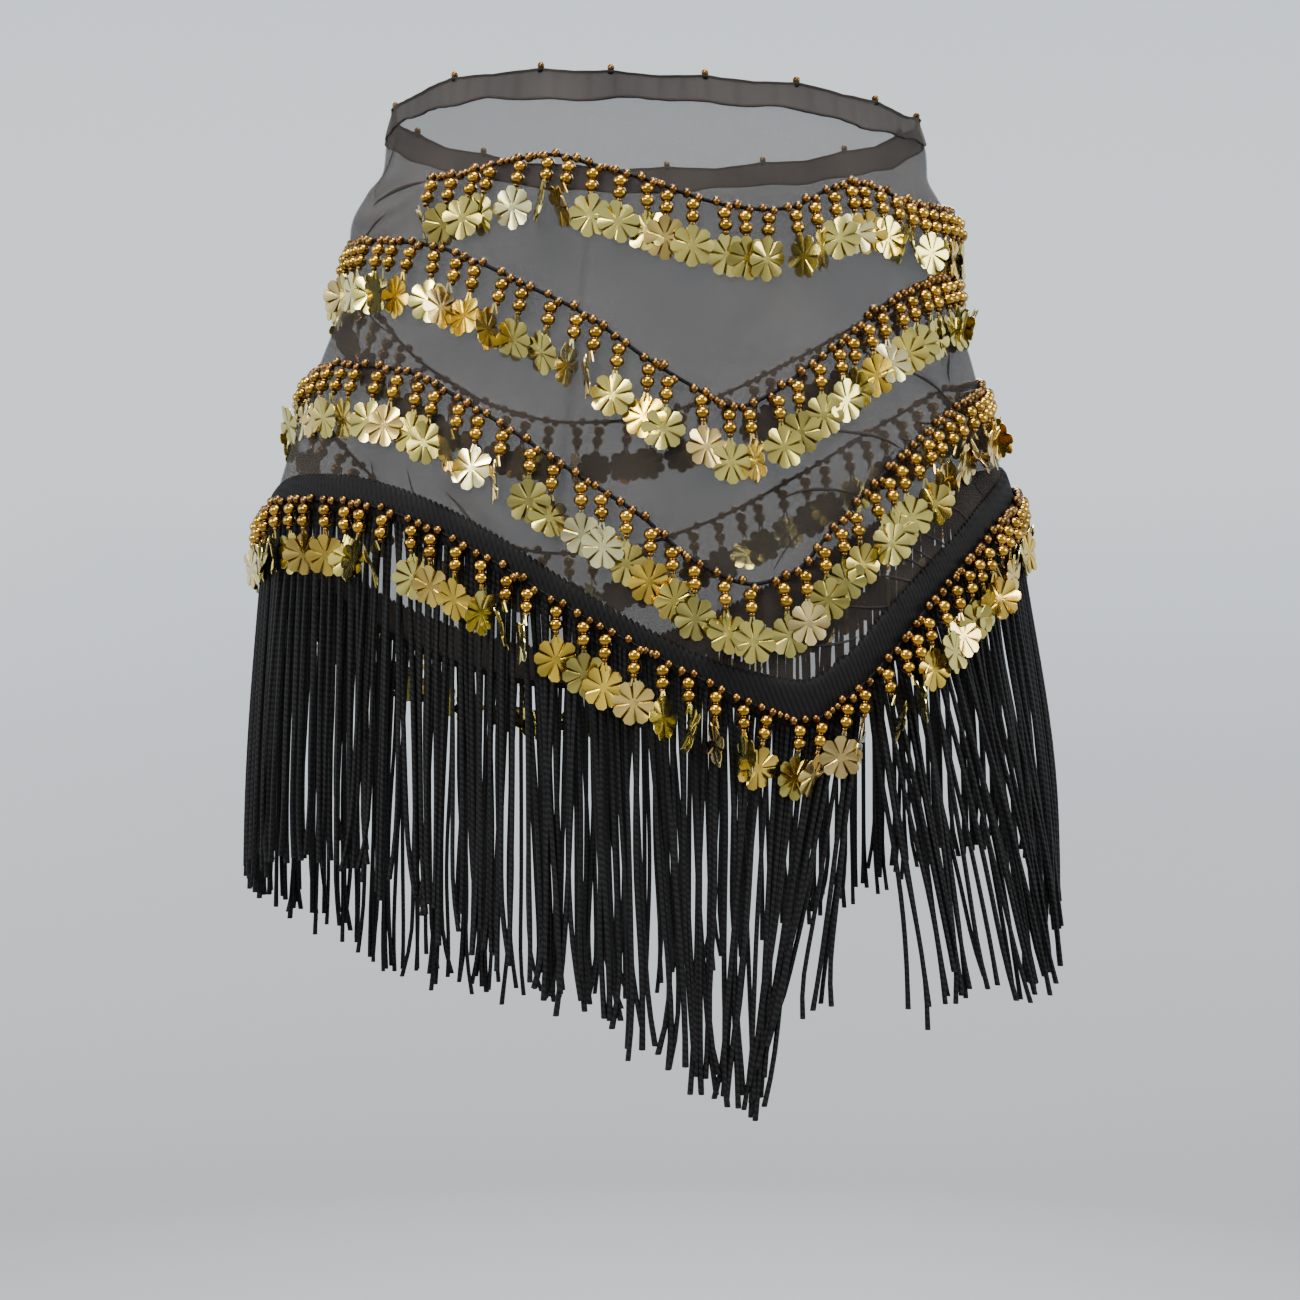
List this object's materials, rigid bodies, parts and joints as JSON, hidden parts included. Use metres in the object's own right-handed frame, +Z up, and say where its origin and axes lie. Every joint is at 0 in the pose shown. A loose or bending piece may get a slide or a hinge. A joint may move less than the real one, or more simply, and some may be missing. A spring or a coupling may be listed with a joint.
{
  "type": "belly dance hip belt",
  "caption": "Sheer tube-shaped hip wrap with a turned top hem, rows of hanging bead and flower drops, and a pointed braid edge with a long fringe.",
  "frame": {"origin": "middle of the waist opening at the level of the top hem, where the wearer holds the belt up", "axes": "+Z up, front faces -Y, +X to the right of someone who looks at the front"},
  "size_m": [0.3812, 0.2694, 0.4407],
  "materials": {
    "sheer_mesh": "fine sheer stretch mesh, matte",
    "hem_mesh": "two layers of sheer mesh, matte",
    "gold_drops": "shiny gold-plated beads and thin embossed flower sequins",
    "fringe_black": "braid and twisted cord, slight sheen"
  },
  "bodies": {
    "root": {"mesh_wrap": "sheer_mesh", "top_hem": "hem_mesh", "row_1_drops": "gold_drops", "row_2_drops": "gold_drops", "row_3_drops": "gold_drops", "row_4_drops": "gold_drops", "fringe_trim": "fringe_black"}
  },
  "joints": []
}
